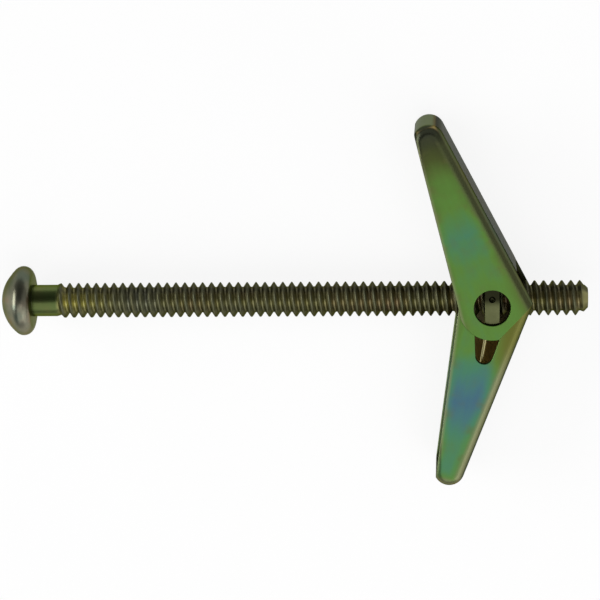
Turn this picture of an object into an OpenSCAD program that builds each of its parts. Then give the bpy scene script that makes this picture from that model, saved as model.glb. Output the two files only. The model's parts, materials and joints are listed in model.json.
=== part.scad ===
// Spring toggle bolt: a round-head machine screw with a trunnion nut and two sprung sheet-metal wings.
// The bolt lies along X with its head at -X, the wings spread along Y and pivot about Z.
// The origin is the middle of the head's bearing face, on the bolt's axis.

/* [Bolt] */
// Length of the bolt under its head
bolt_l = 50.8; // [46:0.2:102]
// Outside diameter of the thread
thread_d = 3.2; // [3.0:0.05:3.6]
// Diameter of the smooth neck under the head
neck_d = 2.9; // [2.4:0.05:3.0]
// Length of the smooth neck
neck_l = 2.2; // [1:0.1:8]
// Length of the cone where the thread runs out to the neck
runout_l = 0.4; // [0.2:0.05:1]
// Pitch of the thread, evened out to fill its length
thread_pitch = 0.82; // [0.7:0.01:1]
// Depth of the thread
thread_depth = 0.43; // [0.3:0.01:0.5]
// Width of the flat on a thread's crest
crest_w = 0.1; // [0.05:0.01:0.15]
// Width of the flat in a thread's root
root_w = 0.16; // [0.1:0.01:0.2]
// Chamfer on the tail, along the bolt and across it
tail_chamfer = 0.7; // [0.3:0.05:1.1]
// Diameter of the head
head_d = 6.4; // [5.8:0.1:7]
// Height of the head
head_h = 2.9; // [2.6:0.1:3.2]
// Radius of the dome on the head
dome_r = 3.85; // [3.6:0.05:4.4]
// Width of the screwdriver slot
drive_w = 1.0; // [0.7:0.05:1.4]
// Depth of the screwdriver slot below the top of the dome
drive_depth = 1.3; // [0.8:0.05:1.7]

/* [Nut] */
// Distance from the head's bearing face to the wings' pivot
pivot_x = 42.1; // [25:0.1:45]
// Thickness of the nut's plate, along the bolt
nut_t = 1.35; // [1:0.05:2]
// Width of the nut's plate, across the bolt
nut_w = 5.2; // [4.7:0.1:5.4]
// Diameter of the trunnions that the wings turn on
trunnion_d = 3.2; // [2.8:0.05:3.5]
// How far the trunnion's end stays below the outer ear's face
trunnion_recess = 0.4; // [0.1:0.05:0.5]
// Diameter of the punch mark on the trunnion's end
punch_d = 0.6; // [0.3:0.05:0.9]
// Distance of the punch mark from the pivot
punch_off = 0.7; // [0.4:0.05:1]

/* [Wings] */
// Thickness of the wings' sheet
sheet_t = 0.6; // [0.4:0.05:0.75]
// Inside radius of the bend between web and flange
bend_in_r = 0.25; // [0.15:0.05:0.5]
// Radius of the round ear at the root
ear_r = 3.0; // [2.6:0.05:3.1]
// How far the round ear bulges past the line of the open edge
ear_bulge = 0.05; // [0.02:0.01:0.3]
// Distance from the pivot to the web's outer face
web_off = 3.44; // [3.3:0.02:3.8]
// Length of a wing from the pivot to its tip
wing_l = 17.6; // [14:0.1:21]
// Radius of the round tip
tip_r = 1.4; // [1.2:0.05:2]
// Place of the tip to the web's side of the pivot line
tip_off = 0.25; // [0:0.05:0.8]
// How far the open edge is trimmed inside the tip's round
open_trim = 0.25; // [0.1:0.05:0.5]
// How far the nose's wall wraps down the tip's round on the open side
nose_wrap = 0.8; // [0.7:0.05:1.2]
// How far the bent edge runs past the pivot, to the corner of the heel
heel_drop = 1.4; // [1.2:0.05:1.8]
// Slope of the heel that flattens the ear, in degrees
heel_lean = 19; // [14:1:24]
// Distance from the pivot to the start of the web
web_start = 1.8; // [1.7:0.05:3]
// Distance from the pivot to the end of the inner ear's tapered slot
slot_reach = 5.45; // [4.6:0.05:7]
// Radius of the slot's round end
slot_end_r = 0.8; // [0.5:0.05:1.2]
// Lean of the slot towards the web, in degrees
slot_lean = 6; // [0:1:10]
// Sweep of the upper wing towards the head from square to the bolt, in degrees
sweep_a = 21; // [5:0.5:40]
// Sweep of the lower wing towards the head from square to the bolt, in degrees
sweep_b = 15; // [5:0.5:40]

/* [Spring] */
// Diameter of the spring wire
wire_d = 0.34; // [0.25:0.01:0.4]
// Radius of the coil at the middle of its wire
coil_r = 2.3; // [2.1:0.05:2.5]
// Radius of the bend from the coil to a leg
elbow_r = 0.6; // [0.4:0.05:0.9]
// Reach of a leg from the pivot to its end on the web
leg_l = 13.2; // [8:0.1:14]
// Whole turns of the coil besides the arc between the legs
coil_turns = 1; // [1:1:2]

/* [Clearances] */
// Radial clearance between the bolt and the nut's bore
thread_clear = 0.05; // [0.02:0.01:0.1]
// Radial clearance of the ears on the trunnions
pivot_clear = 0.05; // [0.02:0.01:0.1]
// Gap between an inner and an outer ear
ear_gap = 0.08; // [0.04:0.01:0.15]
// Gap between the wire and what it lies against
wire_gap = 0.03; // [0.01:0.01:0.06]

/* [Hidden] */
$fn = 96;
over = 0.5;

// Head: the rim's round is tangent to the dome, to the head's side and to the bearing face.
head_r = head_d / 2;
dome_drop = dome_r - head_h;
rim_b = dome_drop + dome_r - head_r;
rim_r = sqrt(rim_b * rim_b - head_r * head_r - dome_drop * dome_drop + dome_r * dome_r) - rim_b;
rim_c = [head_r - rim_r, rim_r];
rim_end = atan2(rim_c[1] + dome_drop, rim_c[0]);

// Thread: one groove for each pitch, from the end of the run-out to the start of the tail's chamfer.
thread_r = thread_d / 2;
thread_from = neck_l + runout_l;
thread_to = bolt_l - tail_chamfer;
grooves = round((thread_to - thread_from) / thread_pitch);
groove_step = (thread_to - thread_from) / grooves;

// Levels in Z, from the bolt outwards: coil, inner ear, gap, outer ear.
coil_pitch = wire_d + wire_gap / 2;
trunnion_r = trunnion_d / 2;
hole_r = trunnion_r + pivot_clear;
web_in = web_off - sheet_t;

// Wing plan, pivot at the origin and tip along +Y: the middle of the tip's round.
bend_r = bend_in_r + sheet_t;
tip_c = [tip_off, wing_l - tip_r];
// Lean of the open edge and of the web towards the wing's middle, in degrees: the web touches the tip's round
open_off = ear_r - ear_bulge;
open_lean = asin((open_off - tip_r + open_trim) / norm(tip_c)) + atan2(tip_c[0], tip_c[1]);
web_lean = asin((web_off - tip_r) / norm(tip_c)) - atan2(tip_c[0], tip_c[1]);
// Directions square to each edge, outwards, and along it to the tip
open_n = [-cos(open_lean), sin(open_lean)];
open_y = [sin(open_lean), cos(open_lean)];
web_n = [cos(web_lean), sin(web_lean)];
web_y = [-sin(web_lean), cos(web_lean)];

// Spring legs: each lies on a ray from the pivot and ends on the web's inner face.
wire_r = wire_d / 2;
leg_side = web_in - wire_r - wire_gap;
leg_lean = asin(leg_side / leg_l) - web_lean;
leg_a_dir = 90 + sweep_a - leg_lean;
leg_b_dir = -(90 + sweep_b - leg_lean) - 360 * coil_turns;
elbow_step = asin(elbow_r / (coil_r + elbow_r));
elbow_m = (coil_r + elbow_r) * cos(elbow_step);
coil_from = leg_a_dir - elbow_step;
coil_to = leg_b_dir + elbow_step;
coil_rise = coil_pitch * (coil_from - coil_to) / 360;

coil_z = thread_r + wire_gap + wire_r;
inner_in = coil_z + coil_rise + wire_r + wire_gap;
inner_out = inner_in + sheet_t;
outer_in = inner_out + ear_gap;
outer_out = outer_in + sheet_t;

// Two discs with their common tangents, the first at the origin.
module tapered_slot(r1, c2, r2) {
    d = norm(c2);
    lean = asin((r1 - r2) / d);
    axis = c2 / d;
    side = [axis[1], -axis[0]];
    out = [for (s = [-1, 1]) s * cos(lean) * side + sin(lean) * axis];
    circle(r1);
    translate(c2) circle(r2);
    polygon([r1 * out[0], r1 * out[1], c2 + r2 * out[1], c2 + r2 * out[0]]);
}

// Points of an arc between two angles, both ends included.
function polar(r, a) = [r * cos(a), r * sin(a)];
function arc(c, r, from, to, steps) = [for (i = [0 : steps]) c + polar(r, from + i / steps * (to - from))];

// Half section of one groove of the thread, between the middles of two crests, the lower end given.
function groove(y) = [
    [thread_r, y + crest_w / 2], [thread_r - thread_depth, y + (groove_step - root_w) / 2],
    [thread_r - thread_depth, y + (groove_step + root_w) / 2], [thread_r, y + groove_step - crest_w / 2]
];

// One turned piece, its half section drawn with the axis on Y and the head upwards, and a slot cut across
// the head. The thread is a row of rings with its true section and pitch.
module bolt() {
    section = concat(
        [[0, -bolt_l], [thread_r - tail_chamfer, -bolt_l], [thread_r, -thread_to]],
        [for (i = [0 : grooves - 1]) each groove(i * groove_step - thread_to)],
        [[thread_r, -thread_from], [neck_d / 2, -neck_l], [neck_d / 2, 0]],
        arc(rim_c, rim_r, -90, rim_end, 16),
        arc([0, -dome_drop], dome_r, rim_end + 2, 90 - 2, 20),
        [[0, head_h]]
    );
    color("darkkhaki") difference() {
        rotate([0, -90, 0]) rotate_extrude() polygon(section);
        translate([-head_h - over, -head_d, -drive_w / 2])
            cube([drive_depth + over, 2 * head_d, drive_w]);
    }
}

// Flat plate round the bolt, with a trunnion at each end that has round sides only.
module nut() {
    color("olivedrab") translate([pivot_x, 0, 0]) difference() {
        union() {
            translate([-nut_t / 2, -nut_w / 2, -thread_r]) cube([nut_t, nut_w, 2 * thread_r]);
            intersection() {
                cylinder(h = 2 * (outer_out - trunnion_recess), r = trunnion_r, center = true);
                cube([nut_t, 2 * trunnion_d, 4 * outer_out], center = true);
            }
        }
        rotate([0, 90, 0]) cylinder(h = 2 * nut_t, r = thread_r + thread_clear, center = true);
        for (s = [-1, 1])
            translate([0, s * punch_off, s * (outer_out - trunnion_recess)]) sphere(d = punch_d);
    }
}

// Block with a wing's outline seen along the pivot: round ear, straight open edge and flattened heel.
module wing_block() {
    far = 2 * wing_l;
    tall = 4 * outer_out;
    difference() {
        union() {
            cylinder(h = tall, r = ear_r, center = true);
            linear_extrude(tall, center = true) polygon([
                [0, 0], open_off * open_n, open_off * open_n + far * open_y,
                far * web_n + far * web_y, far * web_n - far * web_y
            ]);
        }
        rotate([0, 0, web_lean]) translate([web_off, -heel_drop, 0]) rotate([0, 0, heel_lean])
            translate([-far, -2 * far, -tall]) cube([2 * far, 2 * far, 2 * tall]);
    }
}

// Solid with round edges that the sheet is wrapped over, shrunk by an inset: the sheet lies between two such
// solids. Its corners are the tip's round, and two past the root that the plan cuts away.
module former(inset) {
    edge_r = bend_r - inset;
    corners = [
        [tip_c, tip_r],
        [(web_off - bend_r) * web_n - 2 * ear_r * web_y, bend_r],
        [2 * ear_r * open_n - 2 * ear_r * open_y, bend_r]
    ];
    hull() for (c = corners, z = [outer_out - bend_r, bend_r - inner_out])
        translate([c[0][0], c[0][1], z]) rotate_extrude($fn = 40) intersection() {
            translate([c[1] - bend_r, 0]) circle(edge_r, $fn = 40);
            translate([0, -edge_r]) square([c[1], 2 * edge_r]);
        }
}

// One wing with its tip along +Y and its web on +X: outer ear above, inner ear below.
module wing() {
    slot_dir = [sin(slot_lean), cos(slot_lean)];
    difference() {
        intersection() {
            difference() {
                former(0);
                former(sheet_t);
            }
            wing_block();
        }
        translate([0, 0, -2 * outer_out]) cylinder(h = 4 * outer_out, r = hole_r);
        translate([0, 0, -inner_out - over]) linear_extrude(sheet_t + 2 * over)
            tapered_slot(hole_r, (slot_reach - slot_end_r) * slot_dir, slot_end_r);
        translate([0, 0, -inner_in]) {
            rotate([0, 0, web_lean]) translate([web_in - bend_r, web_start - 2 * ear_r, 0])
                cube([2 * ear_r, 2 * ear_r, inner_in + outer_in]);
            translate([tip_c[0] - 2 * ear_r, 0, 0])
                cube([2 * ear_r, wing_l - nose_wrap, inner_in + outer_in]);
        }
    }
}

module wing_a() {
    color("yellowgreen") translate([pivot_x, 0, 0]) rotate([0, 0, sweep_a]) wing();
}

module wing_b() {
    color("mediumseagreen") translate([pivot_x, 0, 0]) rotate([180, 0, 0]) rotate([0, 0, sweep_b]) wing();
}

// Middle line of the wire, as [x, y, z, heading]: leg of the upper wing, coil, leg of the lower wing.
function elbow_at(dir, turn, a) =
    polar(elbow_m, dir) + turn * elbow_r * polar(1, dir - 90) + polar(elbow_r, dir + turn * a);
function at(p, z, heading) = [p[0], p[1], z, heading];

module spring() {
    sides = 10;
    bends = [0 : 1 / 6 : 1];
    elbow_end = 180 - elbow_step;
    z_a = coil_z + coil_rise;
    steps = ceil((coil_from - coil_to) / 12);
    path = concat(
        [at(polar(leg_l, leg_a_dir), z_a, leg_a_dir + 180)],
        [for (k = bends) let (a = 90 + k * (elbow_end - 90))
            at(elbow_at(leg_a_dir, 1, a), z_a, leg_a_dir + 90 + a)],
        [for (i = [1 : steps - 1]) let (a = coil_from + i / steps * (coil_to - coil_from))
            at(polar(coil_r, a), z_a - i / steps * coil_rise, a - 90)],
        [for (k = bends) let (a = elbow_end + k * (90 - elbow_end))
            at(elbow_at(leg_b_dir, -1, a), coil_z, leg_b_dir + 90 - a)],
        [at(polar(leg_l, leg_b_dir), coil_z, leg_b_dir)]
    );
    rings = len(path);
    points = [for (p = path, j = [0 : sides - 1])
        let (a = 360 * j / sides, across = polar(wire_r * cos(a), p[3] + 90))
        [p[0] + across[0], p[1] + across[1], p[2] + wire_r * sin(a)]];
    skin = [for (i = [0 : rings - 2], j = [0 : sides - 1]) let (k = (j + 1) % sides)
        [i * sides + j, i * sides + k, (i + 1) * sides + k, (i + 1) * sides + j]];
    caps = [[for (j = [sides - 1 : -1 : 0]) j], [for (j = [0 : sides - 1]) (rings - 1) * sides + j]];
    color("tan") translate([pivot_x, 0, 0]) polyhedron(points, concat(skin, caps));
}

bolt();
nut();
wing_a();
wing_b();
spring();
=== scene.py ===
# %% [markdown]
# # A spring toggle bolt
# The part is a small wall fastener: a round-head screw, a nut with two round trunnions, two wings of folded
# sheet that turn on the trunnions, and a wire spring that holds the wings open. Everything but the floor is
# steel with a yellow zinc finish, which shines green, teal and gold. The construction comes from the packed
# model, and this lesson gives each piece its surface: a rolled thread, rounded sheet edges, a wound wire and
# the iridescent finish.

# %% Load the frame
import json
import math

import bmesh
import bpy
from mathutils import Matrix, Vector


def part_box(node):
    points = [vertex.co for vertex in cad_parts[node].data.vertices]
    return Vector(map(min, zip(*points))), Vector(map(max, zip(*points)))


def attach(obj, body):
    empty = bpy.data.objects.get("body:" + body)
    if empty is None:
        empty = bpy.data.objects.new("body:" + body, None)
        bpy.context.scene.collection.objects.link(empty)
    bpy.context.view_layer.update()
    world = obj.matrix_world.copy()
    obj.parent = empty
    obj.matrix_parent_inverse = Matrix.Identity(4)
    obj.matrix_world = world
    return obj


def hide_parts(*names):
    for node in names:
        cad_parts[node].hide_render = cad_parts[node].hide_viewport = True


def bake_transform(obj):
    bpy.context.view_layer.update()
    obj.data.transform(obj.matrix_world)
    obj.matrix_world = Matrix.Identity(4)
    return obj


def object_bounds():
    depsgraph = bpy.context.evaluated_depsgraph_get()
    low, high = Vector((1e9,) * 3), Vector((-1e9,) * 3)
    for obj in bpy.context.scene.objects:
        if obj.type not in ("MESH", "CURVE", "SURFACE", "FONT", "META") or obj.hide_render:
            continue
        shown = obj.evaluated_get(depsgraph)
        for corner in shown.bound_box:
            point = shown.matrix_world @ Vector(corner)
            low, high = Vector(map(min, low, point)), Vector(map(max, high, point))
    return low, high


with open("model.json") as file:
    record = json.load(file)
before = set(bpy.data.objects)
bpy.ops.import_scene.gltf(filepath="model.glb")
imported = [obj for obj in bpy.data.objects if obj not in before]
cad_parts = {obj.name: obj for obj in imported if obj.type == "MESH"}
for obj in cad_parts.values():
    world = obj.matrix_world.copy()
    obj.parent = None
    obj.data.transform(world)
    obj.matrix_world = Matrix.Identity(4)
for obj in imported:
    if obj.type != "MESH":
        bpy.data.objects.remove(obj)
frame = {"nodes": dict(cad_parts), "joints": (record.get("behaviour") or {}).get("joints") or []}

cad_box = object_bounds()
MM = 0.001
joint_at = {joint["name"]: Vector(joint.get("pos_m", (0, 0, 0))) for joint in frame["joints"]}
pivot = joint_at["wing_a_pivot"]
print("nodes:", sorted(frame["nodes"]), "pivot at", pivot[:])

# %% [markdown]
# ## Tools for drawing with operators
# A turned piece is easiest to draw the way a lathe cuts it: as half of its outline, swept once round the
# axis. The outline grows from one vertex. A straight stretch extrudes that vertex, and a round one spins it
# about the arc's centre, so nobody has to list the points of a curve.


# %% Helpers for outlines
def line_to(bm, vert, point):
    """Extrudes a vertex to a point and returns the new end of the outline."""
    end = bmesh.ops.extrude_vert_indiv(bm, verts=[vert])["verts"][0]
    end.co = point
    return end


def arc_to(bm, vert, centre, angle, steps):
    """Spins a vertex about the Y direction through a centre and returns the new end of the outline."""
    made = bmesh.ops.spin(bm, geom=[vert], cent=centre, axis=(0, 1, 0), angle=angle, steps=steps)
    return next(item for item in made["geom_last"] if isinstance(item, bmesh.types.BMVert))


print("outlines grow by lines and arcs")

# %% Helpers for pieces
SMOOTH_UNDER = math.radians(40)


def piece_from(bm, name, smooth_under=SMOOTH_UNDER):
    """Makes an object of a bmesh, shaded smooth except over edges that are sharper than the angle."""
    mesh = bpy.data.meshes.new(name)
    bm.to_mesh(mesh)
    bm.free()
    mesh.shade_smooth()
    mesh.set_sharp_from_angle(angle=smooth_under)
    made = bpy.data.objects.new(name, mesh)
    bpy.context.scene.collection.objects.link(made)
    return made


def flat_faces_stay_flat(made):
    """Weighs each corner's normal by its face, so that rounded edges don't bend the light on flat sheet."""
    weigh = made.modifiers.new("even_normals", "WEIGHTED_NORMAL")
    weigh.keep_sharp = True


print("edges over", round(math.degrees(SMOOTH_UNDER)), "degrees stay sharp")

# %% [markdown]
# ## The bolt
# The real bolt is a headed blank with a rolled thread, so the smooth neck is thinner than the thread's crests
# and thicker than its roots. A bump map could fake the thread, but the outline would stay smooth. Here the
# thread is real: the outline of all its ridges is spun once round the axis while it moves on by one pitch,
# which is a screw.

# %% Sizes of the bolt
bolt_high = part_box("bolt")[1]
bolt_l, head_r = bolt_high.x, bolt_high.y
head_h, dome_r = 2.9 * MM, 3.85 * MM
neck_r, neck_l = 1.45 * MM, 2.2 * MM
thread_r, thread_depth = 1.6 * MM, 0.43 * MM
pitch = 0.82 * MM
crest_flat, root_flat = 0.1 * MM, 0.16 * MM
thread_soft = 0.035 * MM
crest_at = 2.77 * MM
runout_l, groove_l = 0.4 * MM, 0.9 * MM
tail_chamfer = 0.7 * MM
slot_w, slot_depth = 1.0 * MM, 1.3 * MM

# The rim's round touches the dome, the widest circle and the bearing face, which makes its radius the root
# of a quadratic with 2 * rim_b as its middle factor.
dome_drop = dome_r - head_h
rim_b = dome_drop + dome_r - head_r
rim_r = math.sqrt(rim_b ** 2 - head_r ** 2 - dome_drop ** 2 + dome_r ** 2) - rim_b
rim_end = math.atan2(rim_r + dome_drop, head_r - rim_r)
print(f"bolt {bolt_l / MM:.1f} mm long, head {2 * head_r / MM:.1f} mm wide, rim round {rim_r / MM:.2f} mm")

# %% Turn the head and the neck
TURN = 2 * math.pi
ROUND_STEPS, DOME_STEPS, RIM_STEPS = 64, 24, 14
bolt_bm = bmesh.new()
at = bolt_bm.verts.new((-head_h, 0, 0))
at = arc_to(bolt_bm, at, (dome_drop, 0, 0), math.pi / 2 - rim_end, DOME_STEPS)
at = arc_to(bolt_bm, at, (-rim_r, 0, head_r - rim_r), rim_end + math.pi / 2, RIM_STEPS)
at = line_to(bolt_bm, at, (0, 0, neck_r))
at = line_to(bolt_bm, at, (neck_l, 0, neck_r))
bmesh.ops.spin(bolt_bm, geom=bolt_bm.verts[:] + bolt_bm.edges[:], cent=(0, 0, 0), axis=(1, 0, 0),
               angle=TURN, steps=ROUND_STEPS, use_merge=True)
print("head and neck:", len(bolt_bm.faces), "faces")

# %% Roll the thread
flank = (pitch - crest_flat - root_flat) / 2
root_r = thread_r - thread_depth
first = crest_at - crest_flat / 2 - flank - root_flat
while first > neck_l - pitch:
    first -= pitch
ridges = math.ceil((bolt_l - first) / pitch) + 1
thread_bm = bmesh.new()
at = thread_bm.verts.new((first, 0, root_r))
for ridge in range(ridges):
    start = first + ridge * pitch
    for along, radius in ((root_flat, root_r), (root_flat + flank, thread_r),
                          (root_flat + flank + crest_flat, thread_r), (pitch, root_r)):
        at = line_to(thread_bm, at, (start + along, 0, radius))
bmesh.ops.bevel(thread_bm, geom=thread_bm.verts[:], offset=thread_soft, affect="VERTICES", segments=2,
                profile=0.5, material=-1)
bmesh.ops.spin(thread_bm, geom=thread_bm.verts[:] + thread_bm.edges[:], cent=(0, 0, 0), axis=(1, 0, 0),
               dvec=(pitch / ROUND_STEPS, 0, 0), angle=TURN, steps=ROUND_STEPS)
print(f"thread: {ridges} ridges of {pitch / MM:.2f} mm, {len(thread_bm.faces)} faces")

# %% [markdown]
# The two ends of a rolled thread are not cut off square. At the neck the grooves run out until the bar is
# plain, and at the tail a cone of 45 degrees takes the crests away, so that the bolt finds its way into the
# nut. Both are limits on a vertex's distance from the axis, and what lies past an end is drawn back onto it.

# %% Run the thread out at both ends
WELD = 0.0005 * MM


def within_ends(place):
    """Draws a point of the thread back to the bolt's ends, the neck's run-out and the tail's cone."""
    x = min(max(place.x, neck_l), bolt_l)
    around = Vector((0, place.y, place.z))
    past = x - neck_l
    runout = neck_r + past * (thread_r - neck_r) / runout_l
    cone = thread_r - tail_chamfer + bolt_l - x
    narrowest = neck_r - past * (neck_r - root_r) / groove_l
    radius = min(max(around.length, narrowest), runout, thread_r, cone)
    return Vector((x, 0, 0)) + around.normalized() * radius


for vert in thread_bm.verts:
    vert.co = within_ends(vert.co)
thread_mesh = bpy.data.meshes.new("thread")
thread_bm.to_mesh(thread_mesh)
thread_bm.free()
bolt_bm.from_mesh(thread_mesh)
bpy.data.meshes.remove(thread_mesh)
bmesh.ops.remove_doubles(bolt_bm, verts=bolt_bm.verts, dist=WELD)
bmesh.ops.dissolve_degenerate(bolt_bm, edges=bolt_bm.edges, dist=WELD)
bmesh.ops.holes_fill(bolt_bm, edges=[edge for edge in bolt_bm.edges if edge.is_boundary], sides=0)
bmesh.ops.recalc_face_normals(bolt_bm, faces=bolt_bm.faces)
open_edges = sum(not edge.is_manifold for edge in bolt_bm.edges)
print("bolt:", len(bolt_bm.faces), "faces, open edges:", open_edges)

# %% [markdown]
# The screwdriver slot is milled across the finished head. A cutter of the slot's size and a Boolean modifier
# do the same here, and the modifier is applied, so that the slot's edges can then be broken with a small
# bevel.

# %% Mill the slot
bolt = piece_from(bolt_bm, "bolt_screw")
cutter_bm = bmesh.new()
bmesh.ops.create_cube(cutter_bm, size=1)
bmesh.ops.scale(cutter_bm, vec=(2 * slot_depth, 3 * head_r, slot_w), verts=cutter_bm.verts)
bmesh.ops.translate(cutter_bm, vec=(-head_h, 0, 0), verts=cutter_bm.verts)
cutter = piece_from(cutter_bm, "slot_cutter")
cut = bolt.modifiers.new("slot", "BOOLEAN")
cut.operation, cut.solver, cut.object = "DIFFERENCE", "EXACT", cutter
slotted = bpy.data.meshes.new_from_object(bolt.evaluated_get(bpy.context.evaluated_depsgraph_get()))
bolt.modifiers.clear()
bpy.data.objects.remove(cutter)
print("slot cut:", len(slotted.polygons), "faces")

# %% Break the slot's edges
SLOT_BREAK = 0.05 * MM
SLOT_SHARP = math.radians(35)
slot_floor = slot_depth - head_h


def borders_slot(edge):
    """Whether an edge is sharp and runs along a wall of the slot, above its floor or down to it."""
    if not edge.is_manifold or edge.calc_face_angle() <= SLOT_SHARP:
        return False
    places = [vert.co for vert in edge.verts]
    on_wall = all(p.x < slot_floor + WELD and abs(abs(p.z) - slot_w / 2) < WELD for p in places)
    return on_wall and any(p.x < slot_floor - WELD for p in places)


slot_bm = bmesh.new()
slot_bm.from_mesh(slotted)
bmesh.ops.remove_doubles(slot_bm, verts=slot_bm.verts, dist=WELD)
slot_edges = [edge for edge in slot_bm.edges if borders_slot(edge)]
bmesh.ops.bevel(slot_bm, geom=slot_edges, offset=SLOT_BREAK, affect="EDGES", segments=2, profile=0.5,
                material=-1)
slot_bm.to_mesh(bolt.data)
slot_bm.free()
bolt.data.shade_smooth()
bolt.data.set_sharp_from_angle(angle=SMOOTH_UNDER)
flat_faces_stay_flat(bolt)
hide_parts("bolt")
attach(bolt, "bolt")
print("slotted bolt:", len(bolt.data.polygons), "faces,", len(slot_edges), "edges broken")

# %% [markdown]
# ## The wings and the nut
# The wings are pressings, and the nut is cold formed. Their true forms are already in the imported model, so
# each is a copy of it, with its loose triangles joined into flat faces. What a pressing has and a plain solid
# lacks is a soft edge: the finish rounds every cut edge a little, and that thin line is what catches the
# light.

# %% Copy the formed pieces and break their edges
FLAT_WITHIN, SHARP_OVER = math.radians(0.5), math.radians(32)
EDGE_ROUND = 0.05 * MM


def needs_rounding(edge):
    """Whether an edge is sharp, and long enough for the round to fit."""
    return edge.calc_face_angle() > SHARP_OVER and edge.calc_length() > 2 * EDGE_ROUND


def formed_piece(node, name, body):
    """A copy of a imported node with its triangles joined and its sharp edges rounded, riding on its body."""
    bm = bmesh.new()
    bm.from_mesh(frame["nodes"][node].data)
    bmesh.ops.remove_doubles(bm, verts=bm.verts, dist=WELD)
    bmesh.ops.dissolve_limit(bm, angle_limit=FLAT_WITHIN, verts=bm.verts, edges=bm.edges)
    sharp = [edge for edge in bm.edges if needs_rounding(edge)]
    bmesh.ops.bevel(bm, geom=sharp, offset=EDGE_ROUND, affect="EDGES", segments=2, profile=0.5, material=-1)
    made = piece_from(bm, name)
    flat_faces_stay_flat(made)
    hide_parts(node)
    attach(made, body)
    print(f"{name}: {len(made.data.polygons)} faces, {len(sharp)} edges rounded")
    return made


wing_upper = formed_piece("wing_a", "wing_upper", "wing_a")
wing_lower = formed_piece("wing_b", "wing_lower", "wing_b")
nut = formed_piece("nut", "trunnion_nut", "nut")

# %% [markdown]
# ## The spring
# One length of wire is wound round the trunnion and ends in two straight legs that press on the wings' webs.
# It is made as the wire runs: a round section is extruded along the leg, spun round the elbow and then spun
# and lifted round the coil. The wire is made in two halves that meet in the middle of the coil.

# %% Find the legs in the frame
WIRE_R, COIL_R, ELBOW_R = 0.17 * MM, 2.3 * MM, 0.6 * MM
COIL_TURNS = 1
spring_points = [vert.co - pivot for vert in frame["nodes"]["spring"].data.vertices]


def leg_end(side):
    """Middle of the wire's end on the +Y or -Y side, measured from the pivot."""
    reach = max(side * point.y for point in spring_points)
    near = [point for point in spring_points if side * point.y > reach - WIRE_R]
    return sum(near, Vector()) / len(near)


leg_ends = {side: leg_end(side) for side in (1, -1)}
elbow_step = math.asin(ELBOW_R / (COIL_R + ELBOW_R))
elbow_from = (COIL_R + ELBOW_R) * math.cos(elbow_step)
leg_angle = {side: math.atan2(end.y, end.x) for side, end in leg_ends.items()}
coil_angle = leg_angle[1] - leg_angle[-1] + COIL_TURNS * TURN - 2 * elbow_step
coil_fall = leg_ends[1].z - leg_ends[-1].z
print(f"coil of {math.degrees(coil_angle):.0f} degrees, {coil_fall / MM:.2f} mm between the legs")

# %% Run the wire
WIRE_SIDES, ELBOW_STEPS, COIL_STEPS = 12, 8, 60
WIRE_SMOOTH = math.radians(50)


def edges_of(items):
    """The edges among what an operator made."""
    return [item for item in items if isinstance(item, bmesh.types.BMEdge)]


def spring_half(name, side):
    """Half of the spring, from its leg's end to the middle of the coil."""
    end, angle = leg_ends[side], leg_angle[side]
    ray = Vector((math.cos(angle), math.sin(angle), 0))
    across = Vector((ray.y, -ray.x, 0)) * side
    level = Vector((0, 0, end.z))
    bm = bmesh.new()
    bmesh.ops.create_circle(bm, cap_ends=True, radius=WIRE_R, segments=WIRE_SIDES)
    bmesh.ops.rotate(bm, verts=bm.verts, matrix=ray.to_track_quat("Z", "Y").to_matrix())
    bmesh.ops.translate(bm, verts=bm.verts, vec=pivot + ray * end.xy.length + level)
    leg = bmesh.ops.extrude_edge_only(bm, edges=bm.edges[:])["geom"]
    moved = [item for item in leg if isinstance(item, bmesh.types.BMVert)]
    bmesh.ops.translate(bm, verts=moved, vec=ray * (elbow_from - end.xy.length))
    ring = [edge for edge in edges_of(leg) if all(vert in moved for vert in edge.verts)]
    elbow_centre = pivot + ray * elbow_from + across * ELBOW_R + level
    elbow = bmesh.ops.spin(bm, geom=ring, cent=elbow_centre, axis=(0, 0, 1),
                           angle=side * (math.pi / 2 - elbow_step), steps=ELBOW_STEPS)
    coil = bmesh.ops.spin(bm, geom=edges_of(elbow["geom_last"]), cent=pivot, axis=(0, 0, 1),
                          angle=-side * coil_angle / 2, steps=COIL_STEPS,
                          dvec=(0, 0, -side * coil_fall / 2 / COIL_STEPS))
    bmesh.ops.contextual_create(bm, geom=edges_of(coil["geom_last"]))
    bmesh.ops.remove_doubles(bm, verts=bm.verts, dist=WELD)
    bmesh.ops.recalc_face_normals(bm, faces=bm.faces)
    half = piece_from(bm, name, WIRE_SMOOTH)
    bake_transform(half)
    print(f"{name}: {len(half.data.polygons)} faces")
    return half


spring_upper = spring_half("spring_upper_leg", 1)
spring_lower = spring_half("spring_lower_leg", -1)
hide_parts("spring")
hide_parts("spring")

# %% [markdown]
# ## Writing a finish as sums
# A finish is a tree of shader nodes, and long trees are easier to read as sums. The class below wraps a
# node's output, and its operators add Math nodes, so that `0.3 + 0.5 * patch` is what it says.

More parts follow.
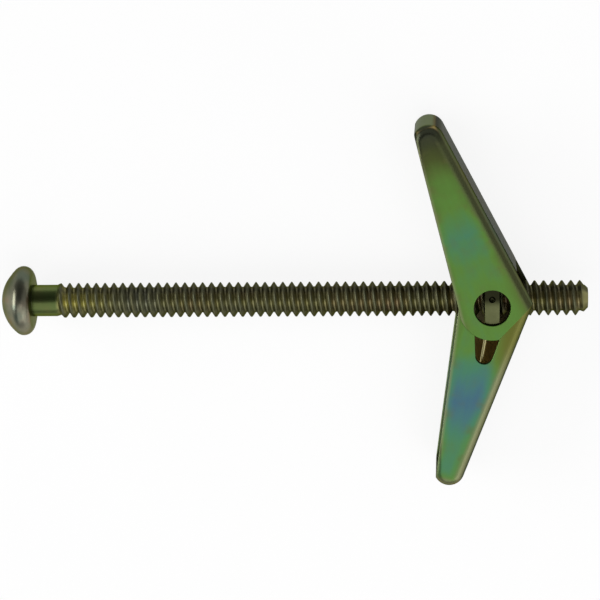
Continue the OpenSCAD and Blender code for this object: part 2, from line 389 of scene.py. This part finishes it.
# %% Values that can be added up
class Value:
    """A node's output. Sums with it add Math nodes."""

    def __init__(self, tree, socket):
        self.tree, self.socket = tree, socket

    def math(self, operation, *others):
        return self.tree.math(operation, self, *others)

    def __add__(self, other):
        return self.math("ADD", other)

    def __radd__(self, other):
        return self.tree.math("ADD", other, self)

    def __sub__(self, other):
        return self.math("SUBTRACT", other)

    def __rsub__(self, other):
        return self.tree.math("SUBTRACT", other, self)

    def __mul__(self, other):
        return self.math("MULTIPLY", other)

    def __rmul__(self, other):
        return self.tree.math("MULTIPLY", other, self)

    def __truediv__(self, other):
        return self.math("DIVIDE", other)

    def __rtruediv__(self, other):
        return self.tree.math("DIVIDE", other, self)

    def __abs__(self):
        return self.math("ABSOLUTE")

    def least(self, other):
        return self.math("MINIMUM", other)


print("values can be added, taken away, multiplied and divided")


# %% [markdown]
# One method makes every other node: it takes the node's kind, its settings and the values or links of its
# sockets. What a finish needs often, such as noise, a smooth rise or a mix of two colours, is a short method
# on top of it.

# %% Trees of nodes
class NodeTree:
    """A node tree that is written with values."""

    def __init__(self, tree):
        self.tree = tree

    def node(self, kind, settings=(), inputs=(), output=0):
        made = self.tree.nodes.new("ShaderNode" + kind)
        for key, value in dict(settings).items():
            setattr(made, key, value)
        for key, value in dict(inputs).items():
            self.feed(made.inputs[key], value)
        return Value(self, made.outputs[output])

    def feed(self, socket, value):
        if isinstance(value, Value):
            self.tree.links.new(value.socket, socket)
        else:
            socket.default_value = value

    def math(self, operation, *values):
        return self.node("Math", {"operation": operation}, dict(enumerate(values)))

    def split(self, vector):
        parts = self.node("SeparateXYZ", inputs={0: vector}).socket.node.outputs
        return [Value(self, part) for part in parts]

    def ramp(self, value, stops):
        """Colours at places between 0 and 1. A single number is a grey."""
        made = self.node("ValToRGB", inputs={0: value})
        elements = made.socket.node.color_ramp.elements
        while len(elements) < len(stops):
            elements.new(1)
        for element, (place, colour) in zip(elements, stops):
            element.position = place
            element.color = (*colour, 1) if isinstance(colour, tuple) else (colour, colour, colour, 1)
        return made


print("a tree makes any node by its kind")


# %% Finishes
class Finish(NodeTree):
    """A material in the making, with its Principled shader."""

    def __init__(self, name):
        self.material = bpy.data.materials.new(name)
        self.material.use_nodes = True
        super().__init__(self.material.node_tree)
        self.shader = self.tree.nodes["Principled BSDF"]

    def place(self, centre=(0, 0, 0), turn=0):
        """Where a point of the piece lies, in millimetres from a centre, in axes turned about Z."""
        return self.node("Mapping", {"vector_type": "TEXTURE"}, {
            "Vector": self.node("TexCoord", output="Object"), "Location": centre, "Rotation": (0, 0, turn),
            "Scale": (MM, MM, MM)})

    def stretch(self, place, scale):
        return self.node("VectorMath", {"operation": "MULTIPLY"}, {0: place, 1: scale})

    def noise(self, place, scale, detail=2.0):
        return self.node("TexNoise", inputs={"Vector": place, "Scale": scale, "Detail": detail})

    def rise(self, value, low, high):
        """Goes smoothly from 0 to 1 as the value goes from low to high."""
        return self.node("MapRange", {"interpolation_type": "SMOOTHSTEP"},
                         {"Value": value, "From Min": low, "From Max": high})

    def fall(self, value, low, high):
        """Goes smoothly from 1 to 0 as the value goes from low to high."""
        return 1 - self.rise(value, low, high)

    def mix(self, share, one, two):
        return self.node("Mix", {"data_type": "RGBA"}, {0: share, 6: one, 7: two}, output=2)

    def bump(self, height, strength, distance):
        return self.node("Bump", inputs={"Height": height, "Strength": strength, "Distance": distance})

    def surface(self, **sockets):
        for name, value in sockets.items():
            self.feed(self.shader.inputs[name.replace("_", " ").title()], value)
        return self.material


print("finishes can be written as sums")

# %% [markdown]
# ## Yellow zinc on the wings
# Chromate over zinc is a film thin enough to colour the light that it reflects: olive where it is thin, then
# green, teal and blue as it thickens in the middle of a wing, where the bath drained last. So one number, the
# film's thickness, drives a colour ramp. It is made from the distance along the wing, the distance to the
# edges and slow noise, so every wing gets its own clouds of colour. Light and shade are painted on top of it:
# painted shade on the webs, on the upper wing's bend and tip and inside the channel near the pivot, and
# painted highlights on the lower wing's bend and the noses, and partly on the open edges. Elsewhere the
# inside of the channel stays brown.

# %% Where a point lies on a wing
# All in millimetres. The open edges and the web lean in towards the nose, so each has a slope.
WING_REACH, NOSE_BEND = 17.6, 16.75
OPEN_OFF, OPEN_SLOPE = 2.97, 0.127
WEB_OFF, WEB_SLOPE = 3.46, 0.111
BEND_R, SHEET_T = 0.85, 0.6
HALF_TALL, MID_OFF = 3.47, 0.34
SWEEP_UPPER, SWEEP_LOWER = math.radians(21), math.radians(15)


def wing_axes(zinc, turn, side):
    """A point's place on a wing, how far along it lies, and how deep below the open edge, web and flange."""
    place = zinc.place(pivot, turn)
    across, along, up = zinc.split(place)
    along = along * side
    to_open = across + OPEN_OFF - OPEN_SLOPE * along
    to_web = WEB_OFF - WEB_SLOPE * along - across
    to_flange = HALF_TALL - abs(up - side * MID_OFF)
    return place, along, to_open, to_web, to_flange


print(f"wings {WING_REACH} mm long and {2 * HALF_TALL:.2f} mm tall, {MID_OFF:.2f} mm off the middle")

# %% The colours of a wing
FILM_COLOURS = [
    (0.00, (0.046, 0.052, 0.020)), (0.15, (0.066, 0.086, 0.022)), (0.30, (0.092, 0.172, 0.034)),
    (0.42, (0.100, 0.226, 0.042)), (0.54, (0.080, 0.226, 0.080)), (0.66, (0.064, 0.212, 0.130)),
    (0.78, (0.061, 0.175, 0.182)), (0.90, (0.056, 0.142, 0.215)), (1.00, (0.070, 0.120, 0.240)),
]
# Painted shade: the webs' colours are dark grey-olive.
WEB_SHADE_COLOURS = [(0.33, (0.110, 0.102, 0.048)), (0.50, (0.088, 0.108, 0.050)), (0.67, (0.078, 0.100, 0.072))]
# Painted shade on the upper wing's bend, and a painted highlight on the lower wing's bend.
UPPER_BEND_SHADE = (0.100, 0.115, 0.050, 1)
LOWER_BEND_HIGHLIGHT = (0.185, 0.195, 0.100, 1)
# Painted highlight for the upward-facing end wall of the nose.
NOSE_HIGHLIGHT = (0.300, 0.360, 0.200, 1)
# Partly a paler film at the open edges and partly a painted highlight along them.
EDGE_FILM_AND_HIGHLIGHT = (0.260, 0.280, 0.150, 1)
INSIDE_COLOUR = (0.300, 0.230, 0.090, 1)
# Painted shadow for the inside of the channel near the pivot.
HUB_SHADE_COLOUR = (0.060, 0.050, 0.025, 1)
GOLD = (0.130, 0.130, 0.022, 1)
WORN_COLOUR = (0.125, 0.125, 0.045, 1)
# Painted shade for the upper wing's tip.
TIP_SHADE_COLOUR = (0.034, 0.039, 0.025, 1)
GRAIN_COLOUR = (0.16, 0.16, 0.10, 1)
SHEET_TINT = (0.25, 0.25, 0.24, 1)

# Film thickness at shares of the wing's length, from the pivot to the nose.
UPPER_FILM = [(0.0, 0.42), (0.25, 0.46), (0.41, 0.60), (0.57, 0.40), (0.70, 0.39), (0.80, 0.20), (0.88, 0.06),
              (1.0, 0.04)]
LOWER_FILM = [(0.0, 0.40), (0.25, 0.46), (0.38, 0.72), (0.54, 0.88), (0.63, 0.76), (0.75, 0.62), (1.0, 0.56)]
print(len(FILM_COLOURS), "colours of film")

# %% The finish of a wing
# Where along the wing one colour gives way to the next, in millimetres from the pivot.
HUB_ENDS, ROOT_ENDS = (2.2, 4.2), (2.5, 7.0)
TIP_DIMS, TIP_DARKENS, NOSE_STARTS = (15.2, 16.4), (16.4, 16.8), (17.1, 17.4)


def film_colour(zinc, place, along, inner, film_along):
    """The colour of the film on the flat of a wing, with the patches where it is worn thin."""
    clouds = zinc.noise(place, scale=0.42, detail=1.5)
    streaks = zinc.noise(zinc.stretch(place, (2.6, 0.3, 1)), scale=1.0, detail=3.0)
    patches = zinc.noise(place, scale=0.8, detail=3.0)
    film = zinc.ramp(along * (1 / WING_REACH) + 0.10 * (clouds - 0.5), film_along)
    film = film * (0.78 + 0.22 * inner) + 0.22 * (clouds - 0.5) + 0.08 * (streaks - 0.5)
    worn = zinc.rise(patches, 0.45, 0.75) * (0.6 - 0.4 * inner)
    return zinc.mix(worn, zinc.ramp(film, FILM_COLOURS), WORN_COLOUR), streaks


def wing_finish(name, turn, side, film_along, painted_bend, gold, tip_shade):
    """Zinc on a wing that is turned about the pivot, from the flat out to its edges and then the inside."""
    zinc = Finish(name)
    place, along, to_open, to_web, to_flange = wing_axes(zinc, turn, side)
    to_bend = (to_web - BEND_R).least(NOSE_BEND - along)
    grain = zinc.noise(place, scale=9.0, detail=3.0)
    inner = zinc.rise(to_open.least(to_bend), -0.1, 0.9)
    colour, streaks = film_colour(zinc, place, along, inner, film_along)
    # Partly a paler film and partly a painted highlight: the open edges are painted lighter.
    colour = zinc.mix(0.6 * zinc.fall(to_open, 0.0, 0.35), colour, EDGE_FILM_AND_HIGHLIGHT)
    # Painted light on the bend: painted shade on the upper wing's bend, a painted highlight on the lower
    # wing's.
    colour = zinc.mix(zinc.fall(to_bend, -0.4, 0.2), colour, painted_bend)
    root_side = zinc.fall(to_bend, 0.0, 1.8) * zinc.fall(along, *ROOT_ENDS)
    colour = zinc.mix(gold * root_side, colour, GOLD)
    # Painted shade: the upper wing's flange is painted darker towards its tip; the lower wing gets none.
    tip = 0.72 * zinc.rise(along, *TIP_DIMS) + 0.28 * zinc.rise(along, *TIP_DARKENS)
    colour = zinc.mix(tip_shade * tip, colour, TIP_SHADE_COLOUR)
    # Painted highlight: the nose's end wall, which faces up, is painted pale.
    nose = zinc.rise(along, *NOSE_STARTS) * zinc.rise(to_flange, 0.45, 0.95)
    colour = zinc.mix(nose, colour, NOSE_HIGHLIGHT)
    # Painted shade: the web is painted dark grey-olive.
    web = zinc.ramp(zinc.noise(place, scale=0.2, detail=1.0), WEB_SHADE_COLOURS)
    colour = zinc.mix(0.85 * zinc.fall(to_web, 0.05, 0.35), colour, web)
    walls = to_flange.least(to_web).least(to_open).least(WING_REACH - along)
    # Painted shadow: inside the channel near the pivot the lining is painted almost black; further out it
    # stays brown.
    lining = zinc.mix(zinc.rise(along, *HUB_ENDS), HUB_SHADE_COLOUR, INSIDE_COLOUR)
    colour = zinc.mix(zinc.rise(walls, 0.3 * SHEET_T, 0.8 * SHEET_T), colour, lining)
    colour = zinc.mix(0.12 * grain, colour, GRAIN_COLOUR)
    return zinc.surface(base_color=colour, metallic=1.0, specular_tint=SHEET_TINT,
                        roughness=0.26 + 0.14 * grain,
                        normal=zinc.bump(grain + 0.6 * streaks, strength=0.2, distance=0.01 * MM))


wing_upper.data.materials.append(wing_finish(
    "zinc_upper_wing", SWEEP_UPPER, 1, UPPER_FILM, UPPER_BEND_SHADE, gold=0.1, tip_shade=0.97))
wing_lower.data.materials.append(wing_finish(
    "zinc_lower_wing", -SWEEP_LOWER, -1, LOWER_FILM, LOWER_BEND_HIGHLIGHT, gold=0.85, tip_shade=0.0))
print("wings finished:", [wing.data.materials[0].name for wing in (wing_upper, wing_lower)])

# %% [markdown]
# ## Yellow zinc on the bolt, the nut and the spring
# The screw comes from the same bath but looks darker: the grooves of the thread hold a thicker, browner film
# and shade each other, and handling has rubbed the crests and the head pale. The distance from the axis says
# which is which, so it mixes the two colours. Near the neck the grooves are painted gold as a painted
# highlight, and painted shade darkens both sides of the thread, the -Y side most, and the head's +Y half.

# %% The finish of the bolt
EDGE_TINT = (0.42, 0.44, 0.30, 1)
GROOVE_COLOURS = [(0.35, (0.300, 0.225, 0.130)), (0.5, (0.280, 0.265, 0.115)), (0.65, (0.265, 0.270, 0.185))]
CREST_COLOURS = [(0.3, (0.165, 0.158, 0.084)), (0.7, (0.148, 0.156, 0.094))]
NECK_COLOURS = [(0.3, (0.095, 0.140, 0.044)), (0.7, (0.120, 0.140, 0.048))]
HEAD_COLOURS = [(0.32, (0.255, 0.195, 0.145)), (0.44, (0.225, 0.212, 0.155)), (0.56, (0.190, 0.192, 0.140)),
                (0.68, (0.135, 0.165, 0.128))]
# Painted highlight: pale gold for the grooves near the neck.
GROOVE_GOLD_HIGHLIGHT = (0.64, 0.60, 0.19, 1)
# Painted shade for both sides of the thread, and more for its -Y side.
THREAD_SIDE_SHADE = (0.055, 0.053, 0.042, 1)
THREAD_LOW_SHADE = (0.075, 0.072, 0.040, 1)
# Painted shade for the head's +Y half.
HEAD_SHADE_COLOUR = (0.080, 0.088, 0.058, 1)

# Where one colour gives way to the next, in millimetres along the bolt, and then from its axis.
HEAD_ENDS, NECK_ENDS, GOLD_HIGHLIGHT_ENDS = (-0.1, 0.1), (2.1, 2.8), (2.6, 9.5)
ROOT_TO_CREST = (1.25, 1.58)


def thread_colour(zinc, along, side, up, radius, crest, stretches):
    """The grooves and crests of the thread, with painted shade down both sides and most on the -Y side."""
    groove = zinc.ramp(stretches, GROOVE_COLOURS)
    # Painted highlight: the grooves of the first threads are painted pale gold, fading out away from the
    # neck.
    groove = zinc.mix(0.8 * zinc.fall(along, *GOLD_HIGHLIGHT_ENDS), groove, GROOVE_GOLD_HIGHLIGHT)
    colour = zinc.mix(zinc.rise(radius, *ROOT_TO_CREST), groove, crest)
    # Painted shade: both sides of the thread, away from its top, are painted dark.
    colour = zinc.mix(0.8 * zinc.fall(up / radius, 0.6, 0.86), colour, THREAD_SIDE_SHADE)
    # Painted shade: the -Y side of the thread is painted darker still.
    return zinc.mix(0.55 * zinc.rise(0 - side / radius, 0.0, 0.4), colour, THREAD_LOW_SHADE)


def bolt_finish():
    """Brown-olive in the grooves, pale olive on the crests and the head, green on the neck."""
    zinc = Finish("zinc_bolt")
    place = zinc.place()
    along, side, up = zinc.split(place)
    radius = (side * side + up * up).math("SQRT")
    clouds = zinc.noise(place, scale=0.6)
    grain = zinc.noise(place, scale=7.0, detail=3.0)
    stretches = zinc.noise(place, scale=0.16)
    thread = thread_colour(zinc, along, side, up, radius, zinc.ramp(clouds, CREST_COLOURS), stretches)
    past_neck = zinc.rise(along, *NECK_ENDS)
    head = zinc.ramp(clouds, HEAD_COLOURS)
    # Painted shade: the head's +Y half is painted darker olive.
    head = zinc.mix(0.55 * zinc.rise(side, 0.4, 2.0), head, HEAD_SHADE_COLOUR)
    colour = zinc.mix(past_neck, zinc.ramp(clouds, NECK_COLOURS), thread)
    colour = zinc.mix(zinc.rise(along, *HEAD_ENDS), head, colour)
    return zinc.surface(base_color=colour, metallic=1.0, specular_tint=EDGE_TINT,
                        roughness=0.24 + 0.12 * past_neck + 0.14 * grain,
                        normal=zinc.bump(grain, strength=0.2, distance=0.008 * MM))


bolt.data.materials.append(bolt_finish())
print("bolt finished:", len(bolt.data.materials[0].node_tree.nodes), "nodes")

# %% The finishes of the nut and the wire
NUT_DARK, NUT_PALE = (0.115, 0.125, 0.055), (0.150, 0.160, 0.075)
WIRE_DARK, WIRE_PALE = (0.46, 0.42, 0.22), (0.60, 0.55, 0.30)
# Painted shadow for the trunnion's end, where the hole's edge shades it.
HOLE_SHADOW_COLOUR = (0.012, 0.012, 0.006, 1)


def plain_zinc(name, dark, pale, scale, hole_shadow=0.0):
    """Zinc with two slow tones, for the small pieces inside. A painted shadow darkens half of the trunnion's
    end.
    """
    zinc = Finish(name)
    place = zinc.place(pivot)
    _, side, up = zinc.split(place)
    clouds = zinc.noise(place, scale)
    grain = zinc.noise(place, scale=9.0, detail=3.0)
    colour = zinc.ramp(clouds, [(0.3, dark), (0.7, pale)])
    # Painted shadow: the +Y half of the trunnion's top end is painted near black, where the hole's edge
    # shades it.
    hole_shadow_share = hole_shadow * zinc.rise(side, -0.1, 0.8) * zinc.rise(up, 2.4, 3.0)
    colour = zinc.mix(hole_shadow_share, colour, HOLE_SHADOW_COLOUR)
    return zinc.surface(base_color=colour, metallic=1.0, specular_tint=EDGE_TINT,
                        roughness=0.28 + 0.14 * grain,
                        normal=zinc.bump(grain, strength=0.2, distance=0.008 * MM))


nut.data.materials.append(plain_zinc("zinc_nut", NUT_DARK, NUT_PALE, scale=0.8, hole_shadow=0.9))
wire_zinc = plain_zinc("zinc_wire", WIRE_DARK, WIRE_PALE, scale=0.7)
for half in (spring_upper, spring_lower):
    half.data.materials.append(wire_zinc)
print("nut and wire finished:", nut.data.materials[0].name, wire_zinc.name)

# %% [markdown]
# ## Floor, light and camera
# The fastener lies on a pale floor. The camera and the metal see it almost white, by a glow that only their
# rays meet, and the rest of its colour comes from the lamps, so that it keeps the fastener's shadow.

# %% The floor
FLOOR_R, FLOOR_GLOW = 2.0, 0.86
floor_bm = bmesh.new()
bmesh.ops.create_circle(floor_bm, cap_ends=True, radius=FLOOR_R, segments=ROUND_STEPS)
bmesh.ops.translate(floor_bm, vec=(pivot.x / 2, 0, cad_box[0].z), verts=floor_bm.verts)
floor = piece_from(floor_bm, "floor")
pale = Finish("pale_floor")
rays = pale.node("LightPath").socket.node.outputs
seen = sum(Value(pale, rays[kind]) for kind in ("Is Camera Ray", "Is Glossy Ray", "Is Transmission Ray"))
mottle = pale.noise(pale.place(), scale=0.05)
pale.surface(base_color=pale.ramp(mottle, [(0.3, 0.86), (0.7, 0.90)]), roughness=0.9)
matt = Value(pale, pale.shader.outputs[0])
glow = pale.node("Emission", inputs={"Color": (1, 1, 1, 1), "Strength": 1.0})
both = pale.node("MixShader", inputs={0: FLOOR_GLOW * seen.least(1.0), 1: matt, 2: glow})
pale.feed(pale.tree.nodes["Material Output"].inputs["Surface"], both)
floor.data.materials.append(pale.material)
print("floor at", round(cad_box[0].z / MM, 2), "mm")

# %% [markdown]
# Metal shows what is round it, so each light is placed by what mirrors it. The flat wings mirror a large soft
# box overhead that leans to the lower wing's side. The bends and the far side of the round bolt mirror the
# dim room, which is what makes them look bent and round. A low strip on the left draws the upright highlight
# on the head, a box at the tail lights the lower wing's bend, and a faint card beside it the upper wing's.

# %% The room
world = bpy.data.worlds.new("studio")
world.use_nodes = True
bpy.context.scene.world = world
room = NodeTree(world.node_tree)
_, aside, height = room.split(room.node("TexCoord", output="Generated"))
dim = room.ramp(height, [(0.0, 0.40), (0.35, 0.30), (0.8, 0.10)]) * (1 - 0.4 * aside)
room.feed(room.tree.nodes["Background"].inputs["Color"], dim)
print("room: dim, darker overhead and behind the upper wing")

# %% The lamps
middle = Vector((bolt_l / 2, 0, 0))


def soft_lamp(name, place, wide, tall, radiance):
    """A rectangle of light that faces the middle of the bolt, and looks as bright as its radiance says."""
    lamp = bpy.data.lights.new(name, "AREA")
    lamp.shape, lamp.size, lamp.size_y = "RECTANGLE", wide, tall
    lamp.energy = radiance * math.pi * wide * tall
    light = bpy.data.objects.new(name, lamp)
    light.location = middle + Vector(place)
    light.rotation_euler = (-Vector(place)).to_track_quat("-Z", "Y").to_euler()
    bpy.context.scene.collection.objects.link(light)
    print(f"{name}: {lamp.energy:.2f} W")
    return light


soft_lamp("soft_box", (0.05, -0.25, 0.43), wide=0.64, tall=0.58, radiance=1.0)
soft_lamp("head_strip", (-0.44, 0.06, 0.215), wide=0.36, tall=0.22, radiance=5.0)
soft_lamp("side_box", (0.35, -0.28, 0.21), wide=0.40, tall=0.36, radiance=1.0)
soft_lamp("end_card", (0.38, 0.10, 0.30), wide=0.36, tall=0.44, radiance=0.18)


# %% [markdown]
# Two lamps are linked to a few objects only. The floor should be white and still show where the fastener
# lies, so one lamp lifts the floor alone, and the fastener shades it. Seen from the lower wing's side, the
# flat wings mirror the dim back of the room and would look almost black, so a fill stands there for the wings
# alone. On the bolt it would wash out the dark upper half of the thread.

# %% Light for some objects alone
def shine_only_on(light, name, lit):
    """Links a lamp to a collection of the objects that it lights."""
    light.light_linking.receiver_collection = bpy.data.collections.new(name)
    for thing in lit:
        light.light_linking.receiver_collection.objects.link(thing)
    print(light.name, "lights", [thing.name for thing in lit])


floor_light = soft_lamp("floor_light", (0, 0, 0.9), wide=1.2, tall=1.2, radiance=0.94)
shine_only_on(floor_light, "floor_only", [floor])
wing_fill = soft_lamp("wing_fill", (0.02, 0.38, 0.36), wide=0.9, tall=0.5, radiance=0.55)
shine_only_on(wing_fill, "wings_only", [wing_upper, wing_lower])

# %% [markdown]
# The photograph is taken from above, leaning a little towards the upper wing and the tail, from about four
# times the bolt's length. The camera stands on that line, and a small roll lifts the tail as there.

# %% The camera
LEAN_UP, LEAN_TAIL, ROLL = math.radians(14.3), math.radians(3.7), math.radians(0.31)
CAMERA_FAR, CAMERA_ANGLE = 219.8 * MM, math.radians(14.25)
look_at = Vector((24.6 * MM, -0.084 * MM, 0))
flat_back = Vector((0, math.sin(LEAN_UP), math.cos(LEAN_UP)))
back = flat_back * math.cos(LEAN_TAIL) + Vector((math.sin(LEAN_TAIL), 0, 0))
up = Vector((0, math.cos(LEAN_UP), -math.sin(LEAN_UP)))
right = up.cross(back)
rolled_right = right * math.cos(ROLL) - up * math.sin(ROLL)
rolled_up = up * math.cos(ROLL) + right * math.sin(ROLL)
eye = bpy.data.cameras.new("camera")
eye.angle = CAMERA_ANGLE
eye.clip_start, eye.clip_end = 0.01, 10
camera = bpy.data.objects.new("camera", eye)
axes = Matrix((rolled_right, rolled_up, back)).transposed().to_4x4()
camera.matrix_world = Matrix.Translation(look_at + back * CAMERA_FAR) @ axes
bpy.context.scene.collection.objects.link(camera)
bpy.context.scene.camera = camera
bpy.context.scene.view_settings.view_transform = "Standard"
print("camera", round((back * CAMERA_FAR).length / MM), "mm away")

# %% [markdown]
# ## Sizes
# A finish is meant to leave the part's size as it was. The box of the imported model is printed here.

# %% Print the packed part's size
print("packed part:", [round(length / MM, 2) for length in cad_box[1] - cad_box[0]], "mm")
